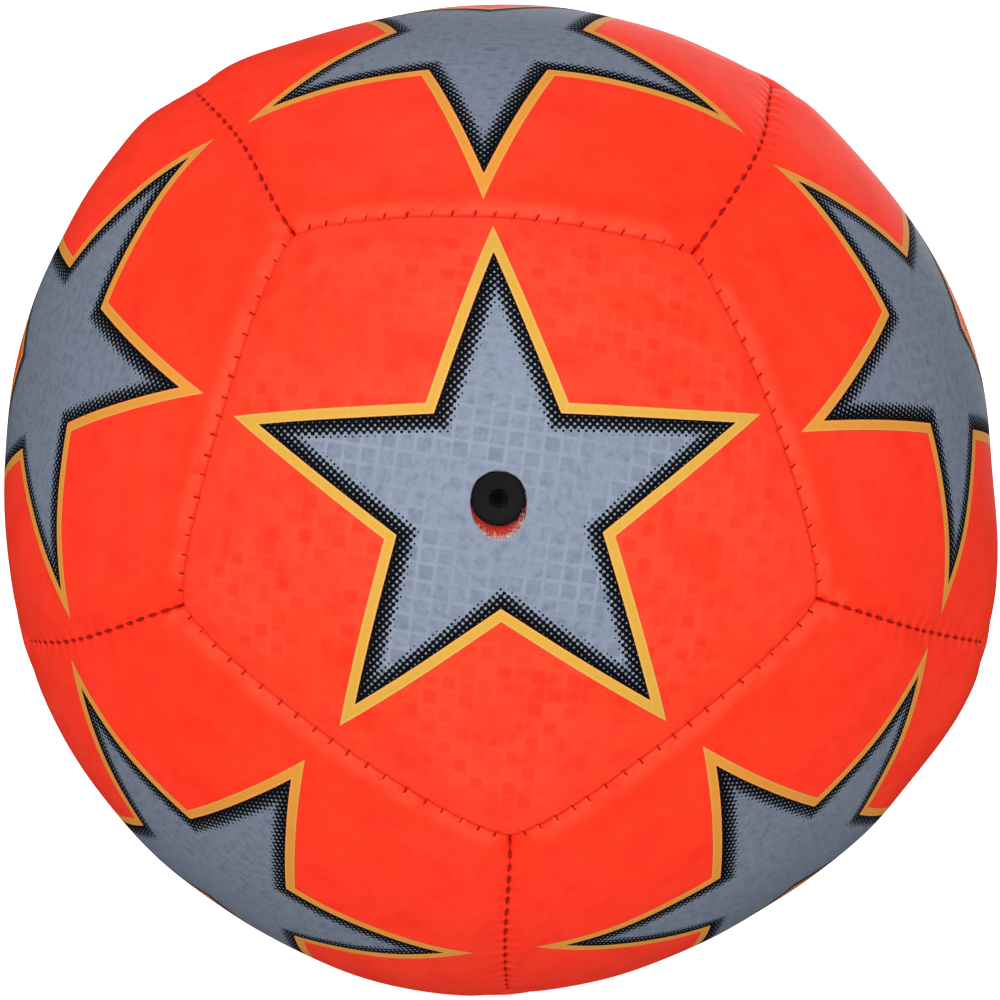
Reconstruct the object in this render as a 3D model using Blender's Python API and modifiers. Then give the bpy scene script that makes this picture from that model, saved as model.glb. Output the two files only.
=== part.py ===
"""A machine-stitched soccer ball of twelve pentagon panels, in metres, +Z up.

The origin is the centre of the ball. The valve panel faces -Y and points one corner down at -Z.
Each panel is a laminate of three sheets: a cover, a foam sheet and a cloth lining. All three turn
inwards at their edges, where the thread holds them to the next panel. The rubber bladder lies
inside them, and its valve comes out through the middle of the valve panel.
"""

import math

import bmesh
import bpy
from mathutils import Matrix, Vector

# The ball
BALL_RADIUS = 0.1090  # at the middle of a panel
SEAM_RADIUS = 0.1080  # at a panel's shoulder, where the seam pulls it in
PUFF_WIDTH = 0.0250  # how far from its seam a panel reaches its full radius
SIDES = 5

# The laminate, from outside to inside
SEAM_GAP = 0.0003  # between two panels that meet
SHOULDER_RADIUS = 0.0022  # the bend from the panel's face into the seam
COVER_THICKNESS = 0.0010
FOAM_DEPTH = 0.0015  # from the cover's outer face to the foam's
FOAM_THICKNESS = 0.0020
LINING_DEPTH = 0.0038
LINING_THICKNESS = 0.0008
ALLOWANCE_RADIUS = 0.1029  # where the turned-in edges end
PANEL_CUTS = 3  # how often each edge of a panel is divided

# The thread
THREAD_RADIUS = 0.0004
THREAD_CLEARANCE = 0.00015
THREAD_END = 0.0013  # how far a petal's thread stops from the corner where three panels meet
THREAD_BEVEL = 1

# The bladder
BLADDER_RADIUS = 0.1020
BLADDER_THICKNESS = 0.0007
BLADDER_SUBDIVISIONS = 4
BLADDER_FACET_DIP = 0.0006  # how far the middle of a flat facet lies inside the sphere

# The valve, whose heights are measured outwards from the ball's centre
VALVE_RISE = 0.0014  # the valve sits this much above the middle of its panel
VALVE_HEAD_HEIGHT = 0.1083
VALVE_RADIUS = 0.0052
VALVE_CHAMFER = 0.0005
VALVE_END_HEIGHT = 0.0940
VALVE_END_RADIUS = 0.0046
NEEDLE_RADIUS = 0.0017
NEEDLE_LIP = 0.0016
FLANGE_RADIUS = 0.0120
FLANGE_THICKNESS = 0.0010
PLUG_RADIUS = 0.0032
PLUG_FUNNEL_DEPTH = 0.0012
PLUG_FUNNEL_RADIUS = 0.0012
PLUG_CHANNEL_RADIUS = 0.0002  # the pierced way through the plug, which a needle pushes open
PATCH_RADIUS = 0.0160
PATCH_THICKNESS = 0.0008
CLEARANCE = 0.0003  # between two pieces that lie against each other
VALVE_STEPS = 28

# The holes around the valve
COVER_HOLE_RADIUS = 0.0055  # at both ends of the upright slot in the cover
FOAM_HOLE_RADIUS = 0.0060
CUTTER_STEPS = 26

# The dodecahedron: angles at its centre, from the middle of a face
EDGE_ANGLE = math.atan(2 / (1 + math.sqrt(5)))  # to the middle of the face's edge
CORNER_ANGLE = math.acos(math.sqrt((5 + 2 * math.sqrt(5)) / 15))  # to its corner
PETAL_ANGLE = 2 * EDGE_ANGLE  # to the middle of the next face
TURN = 2 * math.pi / SIDES
SEAM_ANGLE = 2 * math.asin(math.sin(CORNER_ANGLE) * math.sin(TURN / 2))  # from corner to corner

COVER_COLOUR = (0.90, 0.075, 0.020, 1.0)
FOAM_COLOUR = (0.72, 0.70, 0.64, 1.0)
LINING_COLOUR = (0.62, 0.16, 0.10, 1.0)
THREAD_COLOUR = (0.55, 0.030, 0.015, 1.0)
BLADDER_COLOUR = (0.020, 0.020, 0.022, 1.0)
VALVE_COLOUR = (0.012, 0.012, 0.014, 1.0)
PATCH_COLOUR = (0.045, 0.040, 0.040, 1.0)
PLUG_COLOUR = (0.030, 0.028, 0.028, 1.0)


def clear_scene():
    for scene_object in list(bpy.data.objects):
        bpy.data.objects.remove(scene_object, do_unlink=True)


def new_collection(name):
    collection = bpy.data.collections.new(name)
    bpy.context.scene.collection.children.link(collection)
    return collection


def new_material(name, colour, roughness, metallic=0.0):
    material = bpy.data.materials.new(name)
    material.use_nodes = True
    shader = material.node_tree.nodes["Principled BSDF"]
    shader.inputs["Base Color"].default_value = colour
    shader.inputs["Roughness"].default_value = roughness
    shader.inputs["Metallic"].default_value = metallic
    material.diffuse_color = colour
    return material


def ball_direction(polar, azimuth):
    """The unit vector at an angle `polar` from -Y, turned by `azimuth` from +X towards +Z."""
    return Vector(
        (
            math.sin(polar) * math.cos(azimuth),
            -math.cos(polar),
            math.sin(polar) * math.sin(azimuth),
        )
    )


def panel_rotation(polar, azimuth):
    """The rotation that takes +Z to the panel's middle and +X to the middle of its inner edge.

    The inner edge is the one nearer to the front or back pole. On the two pole panels, +X goes to
    the edge at `azimuth`.
    """
    outward = ball_direction(polar, azimuth)
    if math.sin(polar) < math.sin(EDGE_ANGLE):
        towards = ball_direction(math.pi / 2, azimuth)
    else:
        pole = Vector((0, -1, 0)) if polar < math.pi / 2 else Vector((0, 1, 0))
        towards = (pole - outward * pole.dot(outward)).normalized()
    side = outward.cross(towards)
    return Matrix((towards, side, outward)).transposed().to_4x4()


def panel_places():
    """Each panel's name and rotation. Neighbours of the valve panel are the front petals."""
    top = math.pi / 2
    places = [("valve_panel", panel_rotation(0, top))]
    for index in range(SIDES):
        places.append((f"front_petal_{index + 1}", panel_rotation(PETAL_ANGLE, top + index * TURN)))
    for index in range(SIDES):
        azimuth = -top + index * TURN
        places.append((f"back_petal_{index + 1}", panel_rotation(math.pi - PETAL_ANGLE, azimuth)))
    places.append(("back_panel", panel_rotation(math.pi, -top)))
    return places


def edge_normal(index):
    """The inward normal of the plane through the ball's centre and one edge of a panel at +Z."""
    azimuth = index * TURN
    lean = -math.cos(EDGE_ANGLE)
    return Vector((lean * math.cos(azimuth), lean * math.sin(azimuth), math.sin(EDGE_ANGLE)))


EDGE_NORMALS = [edge_normal(index) for index in range(SIDES)]


def seam_distance(direction):
    """How far a point of the ball's surface lies from the panel's nearest edge."""
    return BALL_RADIUS * min(math.asin(direction.dot(normal)) for normal in EDGE_NORMALS)


def face_radius(direction):
    """The cover's outer radius: it rises from the shoulder to the middle of the panel."""
    rise = min(1, max(0, seam_distance(direction) / PUFF_WIDTH))
    return SEAM_RADIUS + (BALL_RADIUS - SEAM_RADIUS) * (1 - (1 - rise) ** 2)


def inset_direction(direction):
    """The step off the seam that takes a point equally far from every edge it lies on."""
    touching = [normal for normal in EDGE_NORMALS if abs(direction.dot(normal)) < 1e-4]
    total = sum(touching, Vector())
    return total / total.dot(touching[0])


def panel_sheet(name, depth, bend):
    """The open sheet of one panel at +Z, `depth` inside the cover's face, with turned-in edges.

    `bend` is the radius of the corner between the face and the turned-in edge, 0 for a sharp one.
    """
    sheet = bmesh.new()
    bmesh.ops.create_circle(
        sheet,
        cap_ends=True,
        cap_tris=True,
        segments=SIDES,
        radius=math.tan(CORNER_ANGLE),
    )
    bmesh.ops.subdivide_edges(sheet, edges=sheet.edges[:], cuts=PANEL_CUTS, use_grid_fill=True)
    turn_to_edges(sheet)
    rim = [edge for edge in sheet.edges if edge.is_boundary]
    seam_points = {}
    for vertex in sheet.verts:
        direction = Vector((vertex.co.x, vertex.co.y, 1)).normalized()
        if vertex.is_boundary:
            seam_points[vertex] = direction
        else:
            vertex.co = direction * (face_radius(direction) - depth)

    inset = SEAM_GAP / 2 + depth
    top = SEAM_RADIUS - depth
    half = math.sqrt(0.5) * bend
    rows = [(inset + bend, top), (inset, ALLOWANCE_RADIUS)]
    if bend > 0:
        rows[1:1] = [(inset + bend - half, top - bend + half), (inset, top - bend)]
    place_row(seam_points, *rows[0])
    for row in rows[1:]:
        rim, seam_points = extruded_row(sheet, rim, seam_points)
        place_row(seam_points, *row)
    bmesh.ops.recalc_face_normals(sheet, faces=sheet.faces[:])
    face_out(sheet)

    mesh = bpy.data.meshes.new(name)
    sheet.to_mesh(mesh)
    sheet.free()
    mesh.shade_smooth()
    mesh.set_sharp_from_angle(angle=math.radians(40))
    return mesh


def turn_to_edges(sheet):
    """Turns the pentagon about +Z so that the middle of one of its edges lies at +X."""
    corner = max((vertex for vertex in sheet.verts if vertex.is_boundary), key=lambda v: v.co.length)
    angle = TURN / 2 - math.atan2(corner.co.y, corner.co.x)
    bmesh.ops.rotate(sheet, verts=sheet.verts[:], matrix=Matrix.Rotation(angle, 3, "Z"))


def place_row(seam_points, inset, radius):
    """Puts a row of points `inset` inside the seam's planes, at `radius` along the seam."""
    for vertex, direction in seam_points.items():
        vertex.co = direction * radius + inset_direction(direction) * inset


def extruded_row(sheet, rim, seam_points):
    """Extrudes the rim once. It returns the new rim, and the new points with their directions."""
    made = bmesh.ops.extrude_edge_only(sheet, edges=rim)["geom"]
    new_points = {}
    for element in made:
        if isinstance(element, bmesh.types.BMVert):
            old = min(seam_points, key=lambda vertex: (vertex.co - element.co).length_squared)
            new_points[element] = seam_points[old]
    new_rim = [edge for edge in made if isinstance(edge, bmesh.types.BMEdge) and edge.is_boundary]
    return new_rim, new_points


def face_out(sheet):
    top = max(sheet.faces, key=lambda face: face.calc_center_median().z)
    if top.normal.z < 0:
        bmesh.ops.reverse_faces(sheet, faces=sheet.faces[:])


def add_object(name, data, collection, material=None, matrix=None):
    scene_object = bpy.data.objects.new(name, data)
    collection.objects.link(scene_object)
    if matrix is not None:
        scene_object.matrix_world = matrix
    if material is not None and not data.materials:
        data.materials.append(material)
    return scene_object


def solidify(scene_object, thickness):
    modifier = scene_object.modifiers.new("Wall", "SOLIDIFY")
    modifier.thickness = thickness
    modifier.offset = -1
    modifier.use_even_offset = True
    modifier.use_quality_normals = True


def cut(scene_object, cutter):
    modifier = scene_object.modifiers.new("Hole", "BOOLEAN")
    modifier.operation = "DIFFERENCE"
    modifier.solver = "EXACT"
    modifier.object = cutter


def add_layer(prefix, depth, thickness, bend, material, collection):
    """One sheet of the laminate on all twelve panels. It returns the valve panel's piece."""
    mesh = panel_sheet(prefix, depth, bend)
    pieces = []
    for place, rotation in panel_places():
        piece = add_object(f"{prefix}_{place}", mesh, collection, material, rotation)
        solidify(piece, thickness)
        pieces.append(piece)
    return pieces[0]


def valve_frame(rise):
    """The frame whose +Z runs out of the valve, `rise` above the middle of its panel."""
    return Matrix.Translation((0, 0, rise)) @ Matrix.Rotation(math.pi / 2, 4, "X")


def hole_cutter(name, radius, stretch, rise, collection):
    """A cylinder along the valve's axis through the whole wall, pulled `stretch` up and down."""
    low = BLADDER_RADIUS - PATCH_RADIUS / 2
    high = BALL_RADIUS + PATCH_RADIUS / 2
    tool = bmesh.new()
    bmesh.ops.create_cone(
        tool,
        cap_ends=True,
        segments=CUTTER_STEPS,
        radius1=radius,
        radius2=radius,
        depth=high - low,
        matrix=Matrix.Translation((0, 0, (high + low) / 2))
        @ Matrix.Rotation(math.pi / CUTTER_STEPS, 4, "Z"),
    )
    for vertex in tool.verts:
        vertex.co.y += math.copysign(stretch, vertex.co.y)
    mesh = bpy.data.meshes.new(name)
    tool.to_mesh(mesh)
    tool.free()
    cutter = add_object(name, mesh, collection, matrix=valve_frame(rise))
    cutter.hide_render = True
    cutter.display_type = "WIRE"
    return cutter


def cut_valve_holes(cover, foam, lining, bladder, cutters):
    """The cover's and the foam's holes are upright slots, and the valve fills their upper end."""
    cut(cover, hole_cutter("cover_hole", COVER_HOLE_RADIUS, VALVE_RISE, 0, cutters))
    cut(foam, hole_cutter("foam_hole", FOAM_HOLE_RADIUS, VALVE_RISE, 0, cutters))
    neck = hole_cutter("neck_hole", VALVE_RADIUS + CLEARANCE, 0, VALVE_RISE, cutters)
    cut(lining, neck)
    cut(bladder, neck)


def add_bladder(material, collection):
    ball = bmesh.new()
    bmesh.ops.create_icosphere(ball, subdivisions=BLADDER_SUBDIVISIONS, radius=BLADDER_RADIUS)
    mesh = bpy.data.meshes.new("bladder")
    ball.to_mesh(mesh)
    ball.free()
    mesh.shade_smooth()
    bladder = add_object("bladder", mesh, collection, material)
    solidify(bladder, BLADDER_THICKNESS)
    return bladder


def add_turned(name, profile, material, collection):
    """A solid of revolution about the valve's axis, from a closed profile of (radius, height)."""
    mesh = bpy.data.meshes.new(name)
    outline = bmesh.new()
    points = [outline.verts.new((radius, 0, height)) for radius, height in profile]
    for point, following in zip(points, points[1:] + points[:1]):
        outline.edges.new((point, following))
    outline.to_mesh(mesh)
    outline.free()
    piece = add_object(name, mesh, collection, material, valve_frame(VALVE_RISE))
    turn = piece.modifiers.new("Turn", "SCREW")
    turn.axis = "Z"
    turn.steps = VALVE_STEPS
    turn.render_steps = VALVE_STEPS
    turn.use_merge_vertices = True
    turn.merge_threshold = 0.00001
    turn.use_smooth_shade = True
    return piece


def add_valve(body_material, plug_material, patch_material, collection):
    chamber_radius = PLUG_RADIUS + CLEARANCE
    chamber_top = VALVE_HEAD_HEIGHT - NEEDLE_LIP
    chamber_end = VALVE_END_HEIGHT + NEEDLE_LIP
    room = BLADDER_RADIUS - BLADDER_THICKNESS - BLADDER_FACET_DIP - CLEARANCE
    flange_top = math.sqrt(room**2 - FLANGE_RADIUS**2)
    flange_end = flange_top - FLANGE_THICKNESS
    body = [
        (NEEDLE_RADIUS, VALVE_HEAD_HEIGHT),
        (VALVE_RADIUS - VALVE_CHAMFER, VALVE_HEAD_HEIGHT),
        (VALVE_RADIUS, VALVE_HEAD_HEIGHT - VALVE_CHAMFER),
        (VALVE_RADIUS, flange_top),
        (FLANGE_RADIUS, flange_top),
        (FLANGE_RADIUS, flange_end),
        (VALVE_RADIUS, flange_end),
        (VALVE_END_RADIUS, VALVE_END_HEIGHT),
        (NEEDLE_RADIUS, VALVE_END_HEIGHT),
        (NEEDLE_RADIUS, chamber_end),
        (chamber_radius, chamber_end),
        (chamber_radius, chamber_top),
        (NEEDLE_RADIUS, chamber_top),
    ]
    add_turned("valve_body", body, body_material, collection)

    plug_top = chamber_top - CLEARANCE
    plug_end = chamber_end + CLEARANCE
    plug = [
        (PLUG_FUNNEL_RADIUS, plug_top),
        (PLUG_RADIUS, plug_top),
        (PLUG_RADIUS, plug_end),
        (PLUG_CHANNEL_RADIUS, plug_end),
        (PLUG_CHANNEL_RADIUS, plug_top - PLUG_FUNNEL_DEPTH),
    ]
    add_turned("valve_plug", plug, plug_material, collection)

    inner = BLADDER_RADIUS + CLEARANCE
    hole_angle = math.asin((VALVE_RADIUS + CLEARANCE) / inner)
    rim_angle = math.asin(PATCH_RADIUS / inner)
    angles = [hole_angle, (hole_angle + rim_angle) / 2, rim_angle]
    outer = inner + PATCH_THICKNESS
    patch = [(outer * math.sin(angle), outer * math.cos(angle)) for angle in angles]
    patch += [(inner * math.sin(angle), inner * math.cos(angle)) for angle in reversed(angles)]
    add_turned("valve_patch", patch, patch_material, collection)


def thread_radius_from_centre():
    """Where the thread lies in the groove: clear of both panels' shoulders."""
    reach = SHOULDER_RADIUS + THREAD_RADIUS + THREAD_CLEARANCE
    across = SHOULDER_RADIUS + SEAM_GAP / 2
    return SEAM_RADIUS - SHOULDER_RADIUS + math.sqrt(reach**2 - across**2)


def seam_points(start, end, gap=0.0):
    """Points along the seam from one corner of the ball to the next, `gap` short of each."""
    start_share = gap / (BALL_RADIUS * start.angle(end))
    points = []
    for index in range(PANEL_CUTS + 2):
        share = index / (PANEL_CUTS + 1)
        if index == 0:
            share = start_share
        if index == PANEL_CUTS + 1:
            share = 1 - start_share
        points.append(start.lerp(end, share).normalized() * thread_radius_from_centre())
    return points


def add_thread(name, points, closed, material, collection):
    """A thread along the points, as a closed mesh made from a bevelled curve."""
    curve = bpy.data.curves.new(name, "CURVE")
    curve.dimensions = "3D"
    curve.bevel_depth = THREAD_RADIUS
    curve.bevel_resolution = THREAD_BEVEL
    curve.use_fill_caps = not closed
    spline = curve.splines.new("POLY")
    spline.points.add(len(points) - 1)
    for spline_point, point in zip(spline.points, points):
        spline_point.co = (*point, 1)
    spline.use_cyclic_u = closed
    return add_object(name, curve, collection, material)


def add_threads(material, collection):
    top = math.pi / 2
    half_turn = TURN / 2
    outer_angle = CORNER_ANGLE + SEAM_ANGLE
    inner_corners = [ball_direction(CORNER_ANGLE, top + half_turn + i * TURN) for i in range(SIDES)]
    outer_corners = [ball_direction(outer_angle, top + half_turn + i * TURN) for i in range(SIDES)]
    back_inner = [-corner for corner in inner_corners]
    back_outer = [-corner for corner in outer_corners]
    halves = (("front", inner_corners, outer_corners), ("back", back_inner, back_outer))
    for side, inner, outer in halves:
        ring = []
        for index in range(SIDES):
            ring += seam_points(inner[index], inner[(index + 1) % SIDES])[:-1]
        add_thread(f"thread_{side}_ring", ring, True, material, collection)
        for index in range(SIDES):
            points = seam_points(inner[index], outer[index], THREAD_END)
            add_thread(f"thread_{side}_petal_{index + 1}", points, False, material, collection)

    zigzag = sorted(outer_corners + back_outer, key=lambda corner: math.atan2(corner.z, corner.x))
    closing = []
    for index, corner in enumerate(zigzag):
        closing += seam_points(corner, zigzag[(index + 1) % len(zigzag)])[:-1]
    add_thread("thread_closing_seam", closing, True, material, collection)


def main():
    clear_scene()
    parts = new_collection("soccer_ball")
    cutters = new_collection("cutters")
    cover_material = new_material("cover", COVER_COLOUR, 0.38)
    foam_material = new_material("foam", FOAM_COLOUR, 0.90)
    lining_material = new_material("lining", LINING_COLOUR, 0.95)
    thread_material = new_material("thread", THREAD_COLOUR, 0.70)
    bladder_material = new_material("bladder", BLADDER_COLOUR, 0.55)
    valve_material = new_material("valve", VALVE_COLOUR, 0.50)
    patch_material = new_material("patch", PATCH_COLOUR, 0.60)
    plug_material = new_material("plug", PLUG_COLOUR, 0.50)

    cover = add_layer("cover", 0, COVER_THICKNESS, SHOULDER_RADIUS, cover_material, parts)
    foam = add_layer("foam", FOAM_DEPTH, FOAM_THICKNESS, 0, foam_material, parts)
    lining = add_layer("lining", LINING_DEPTH, LINING_THICKNESS, 0, lining_material, parts)
    bladder = add_bladder(bladder_material, parts)
    cut_valve_holes(cover, foam, lining, bladder, cutters)
    add_valve(valve_material, plug_material, patch_material, parts)
    add_threads(thread_material, parts)


main()
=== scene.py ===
"""The look of a machine-stitched soccer ball of twelve pentagon panels, around its CAD frame.

All lengths are in metres unless a name says otherwise. The valve panel faces -Y, and +Z is up.
"""

import math

import bmesh
import bpy
import numpy as np
from mathutils import Matrix, Vector


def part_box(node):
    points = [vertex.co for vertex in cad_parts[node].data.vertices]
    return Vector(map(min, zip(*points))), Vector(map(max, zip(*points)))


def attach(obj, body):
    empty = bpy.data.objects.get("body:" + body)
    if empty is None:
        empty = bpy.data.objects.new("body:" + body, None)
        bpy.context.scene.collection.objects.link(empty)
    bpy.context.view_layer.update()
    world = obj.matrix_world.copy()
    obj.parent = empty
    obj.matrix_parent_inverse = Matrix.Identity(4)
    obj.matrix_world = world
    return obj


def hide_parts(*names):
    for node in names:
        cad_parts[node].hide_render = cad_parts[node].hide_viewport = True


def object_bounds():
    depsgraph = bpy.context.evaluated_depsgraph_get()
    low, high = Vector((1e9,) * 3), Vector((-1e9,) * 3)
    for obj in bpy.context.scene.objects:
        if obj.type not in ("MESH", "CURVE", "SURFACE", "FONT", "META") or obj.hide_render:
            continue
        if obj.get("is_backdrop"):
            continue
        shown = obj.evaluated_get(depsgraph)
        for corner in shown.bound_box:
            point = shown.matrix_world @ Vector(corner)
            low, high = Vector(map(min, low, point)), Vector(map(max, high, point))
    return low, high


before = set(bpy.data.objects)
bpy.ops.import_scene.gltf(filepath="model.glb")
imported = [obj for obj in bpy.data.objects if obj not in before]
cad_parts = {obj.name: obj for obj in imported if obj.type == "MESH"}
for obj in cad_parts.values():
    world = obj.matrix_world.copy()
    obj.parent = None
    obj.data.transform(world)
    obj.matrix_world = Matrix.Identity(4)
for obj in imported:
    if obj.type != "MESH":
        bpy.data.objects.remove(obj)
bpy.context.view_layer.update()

BODY = "root"
MM = 0.001

# The ball, as the CAD has it
SIDES = 5
TURN = 2 * math.pi / SIDES
EDGE_ANGLE = math.atan(2 / (1 + math.sqrt(5)))
CORNER_ANGLE = math.acos(math.sqrt((5 + 2 * math.sqrt(5)) / 15))
PETAL_ANGLE = 2 * EDGE_ANGLE
SEAM_ANGLE = 2 * math.asin(math.sin(CORNER_ANGLE) * math.sin(TURN / 2))
OUTER_CORNER_ANGLE = CORNER_ANGLE + SEAM_ANGLE
BALL_RADIUS = 0.1090
HALF_SEAM = BALL_RADIUS * SEAM_ANGLE / 2
EDGE_REACH = BALL_RADIUS * math.sin(EDGE_ANGLE)
SEAM_RADIUS = 0.1080
PUFF_WIDTH = 0.0250
ALLOWANCE_RADIUS = 0.1029
COVER_THICKNESS = 0.0010
FOAM_DEPTH, FOAM_THICKNESS = 0.0015, 0.0020
LINING_DEPTH, LINING_THICKNESS = 0.0038, 0.0008

# Mesh density
COVER_STEPS = 64
RIM_REFINING = 3
COVER_HOLE_RING = 8
COVER_THINNING = 4
SHEET_STEPS = 20
SHEET_HOLE_RING = 3
GRID_INSET = 0.0038
SHOULDER_ROWS_MM = (
    3.3, 2.85, 2.45, 2.1, 1.8, 1.5, 1.25, 1.0, 0.8, 0.6, 0.43, 0.28, 0.15, 0.05, 0.0
)
WALL_ROWS_MM = (0.25, 0.7, 1.5, 3.0)
# A cover's material numbers. Other meshes have only the first.
PRINT, CLOTH = 0, 1

# The seams. `puff` and `drop` are the wide and the tight part of a panel's rounded edge, as
# (width, height); `gap` is half of the gap at a stitch and between two stitches; `sway` is how far
# each stitch pulls the seam off its line.
STITCH_PITCH = 0.00415
RING_GAPS = (0.00003, 0.00008)
INNER_SIDE = {"puff": (0.0040, 0.00045), "drop": (0.0013, 0.00065), "gap": RING_GAPS}
OUTER_SIDE = {"puff": (0.0068, 0.00130), "drop": (0.0015, 0.00070), "gap": RING_GAPS}
PLAIN_SIDE = {"puff": (0.0050, 0.00060), "drop": (0.0012, 0.00060), "gap": (0.00002, 0.00023)}
INNER_SIDE["sway"], OUTER_SIDE["sway"], PLAIN_SIDE["sway"] = 0.00005, -0.00005, 0.0
# How far a seam slants to either side between its stitches
PLAIN_SLANT = 0.00017
RING_SLANT = 0.00014
RING_GAP = 0.00004
HOLE_DISTANCE = 0.0016
# How far each stitch of the ring seams leans along its seam, by petal
RING_LEANS = (0.55, 0.05, 0.10, -0.10, -0.60)
# The thread between two stitches: its radius, its depth under the seam's face, how far its middle
# rises, and how far from each stitch it ends
RING_RUN = (0.00013, 0.0019, 0.0002, 0.0)
PLAIN_RUN = (0.00021, 0.0016, 0.00092, 0.0003)
SHORTEST_RUN = 0.001
# How far from a seam's end the last stitch and the last run may come
STITCH_MARGIN, RUN_MARGIN = 0.0016, 0.0012
# A stitch over the petal's edge, from the seam to its hole: shares of the way, heights over the
# face in millimetres, and shares of its radius
STITCH_RADIUS = 0.00018
STITCH_SHARES = (0.03125, 0.15625, 0.3125, 0.5, 0.6875, 0.875, 1.0)
STITCH_HEIGHTS_MM = (-0.90, -0.45, -0.12, 0.03, 0.04, -0.10, -0.55)
STITCH_SLIM = (0.6, 0.7, 0.8, 1.0, 1.3, 1.5, 1.1)

# The valve, whose places come from the CAD
VALVE_LOW, VALVE_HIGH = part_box("valve_body")
VALVE_CENTRE_Z = (VALVE_LOW.z + VALVE_HIGH.z) / 2
VALVE_HEAD = -VALVE_LOW.y
VALVE_END = -VALVE_HIGH.y
FLANGE_RADIUS = (VALVE_HIGH.x - VALVE_LOW.x) / 2
FLANGE_THICKNESS = 0.0010
# How far the flange's rim lies from the ball's middle, just inside the bladder
FLANGE_REACH = 0.1004
VALVE_RADIUS = 0.0052
NEEDLE_RADIUS = 0.0017
CHAMBER_RADIUS = 0.0035
CHAMBER_WALL = 0.0016
SLOT_RADIUS = 0.00538
FOAM_HOLE_RADIUS = 0.0060
LINING_HOLE_RADIUS = 0.0055

# The printed star, the pressed cells and the cloth, in millimetres on the flat panel
STAR_TIP = 56.5
STAR_WAIST = 23.3
GOLD_BAND = 2.15
# How far inside the gold band the ink screen lets through a share of the grey
FIRST_DOTS = (0.25, 0.02)
GROWN_DOTS = (2.5, 0.38)
LAST_DOTS = (4.0, 1.04)
DOT_PITCH = 1.04
CELL_PITCH = 3.45
CELL_TURN = math.radians(8.5)
WEAVE_PITCH = 0.60

SHORT_FIBRES = 90
LONG_FIBRES = 22
SEED = 20


# ---- places on the ball


def ball_direction(polar, azimuth):
    """The unit vector at an angle `polar` from -Y, turned by `azimuth` from +X towards +Z."""
    reach = math.sin(polar)
    return np.array((reach * math.cos(azimuth), -math.cos(polar), reach * math.sin(azimuth)))


def unit(vectors):
    return vectors / np.linalg.norm(vectors, axis=-1, keepdims=True)


def panel_rotation(polar, azimuth):
    """Columns: to the middle of the inner edge, sideways, and outwards."""
    outward = ball_direction(polar, azimuth)
    if math.sin(polar) < math.sin(EDGE_ANGLE):
        towards = ball_direction(math.pi / 2, azimuth)
    else:
        pole = np.array((0.0, -1.0, 0.0)) if polar < math.pi / 2 else np.array((0.0, 1.0, 0.0))
        towards = unit(pole - outward * pole.dot(outward))
    return np.column_stack((towards, np.cross(outward, towards), outward))


def panels():
    """Each panel's name, rotation, kinds of its five edges and lean of its ring stitches."""
    top = math.pi / 2
    pole_kinds = [INNER_SIDE] * SIDES
    petal_kinds = [OUTER_SIDE] + [PLAIN_SIDE] * (SIDES - 1)
    made = [("valve_panel", panel_rotation(0, top), pole_kinds, 0.0)]
    for half, polar, first in (("front", PETAL_ANGLE, top), ("back", math.pi - PETAL_ANGLE, -top)):
        for index, lean in enumerate(RING_LEANS):
            rotation = panel_rotation(polar, first + index * TURN)
            made.append((f"{half}_petal_{index + 1}", rotation, petal_kinds, lean))
    made.append(("back_panel", panel_rotation(math.pi, -top), pole_kinds, 0.0))
    return made


def edge_frames():
    """For the five edges of a panel at +Z: inward normals, middles and tangents."""
    azimuths = np.arange(SIDES) * TURN
    cosines, sines, ones = np.cos(azimuths), np.sin(azimuths), np.ones(SIDES)
    lean, lift = math.cos(EDGE_ANGLE), math.sin(EDGE_ANGLE)
    normals = np.column_stack((-lean * cosines, -lean * sines, lift * ones))
    middles = np.column_stack((lift * cosines, lift * sines, lean * ones))
    return normals, middles, np.column_stack((-sines, cosines, 0 * ones))


EDGE_NORMALS, EDGE_MIDDLES, EDGE_TANGENTS = edge_frames()

# Soft lumps of the hand-sized kind that a laced-up ball has: (polar, azimuth, height, width) in
# degrees and metres
LUMPS = (
    (80, 135, 0.0046, 16),
    (80, 122, 0.0016, 9),
    (82, 125, -0.0019, 2.6),
    (81, 132.5, 0.0006, 4),
    (80, 98, -0.0005, 9),
    (78, 156, 0.0009, 10),
    (80, 202, 0.0015, 15),
    (80, 162, 0.0007, 10),
    (80, 226, 0.0008, 12),
    (80, 264, 0.0027, 19),
    (80, 318, 0.0016, 10),
    (80, 338, 0.0054, 12),
    (80, 352, 0.0018, 9),
    (80, 18, 0.0015, 14),
    (80, 36, 0.0007, 9),
    (80, 51, 0.0026, 8),
    (80, 64, 0.0008, 8),
    (112, 20, 0.0012, 26),
    (120, 130, 0.0010, 24),
    (125, 250, 0.0014, 28),
    (160, 320, 0.0008, 24),
)
# Where a corner of the pattern sits off its even place: (polar, azimuth, step along X, along Z)
INNER = math.degrees(CORNER_ANGLE)
OUTER = math.degrees(OUTER_CORNER_ANGLE)
PULLS = (
    (INNER, 126, -0.0028, 0.0023),
    (INNER, 54, 0.0001, -0.0041),
    (INNER, -18, 0.0025, -0.0002),
    (INNER, -90, 0.0015, -0.0028),
    (INNER, 198, -0.0020, 0.0004),
    (OUTER, 54, -0.0024, 0.0018),
    (OUTER, -18, 0.0003, 0.0010),
    (OUTER, -90, 0.0009, 0.0),
    (OUTER, 198, -0.0010, 0.0032),
    (57, 126, 0.0017, 0.0012),
    (57, 54, 0.0018, -0.0013),
)
PULL_WIDTH = 15.0
CORNER_DIMPLE = 0.0006
CORNER_DIMPLE_WIDTH = 0.0045
RIPPLE = 0.00010


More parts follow.
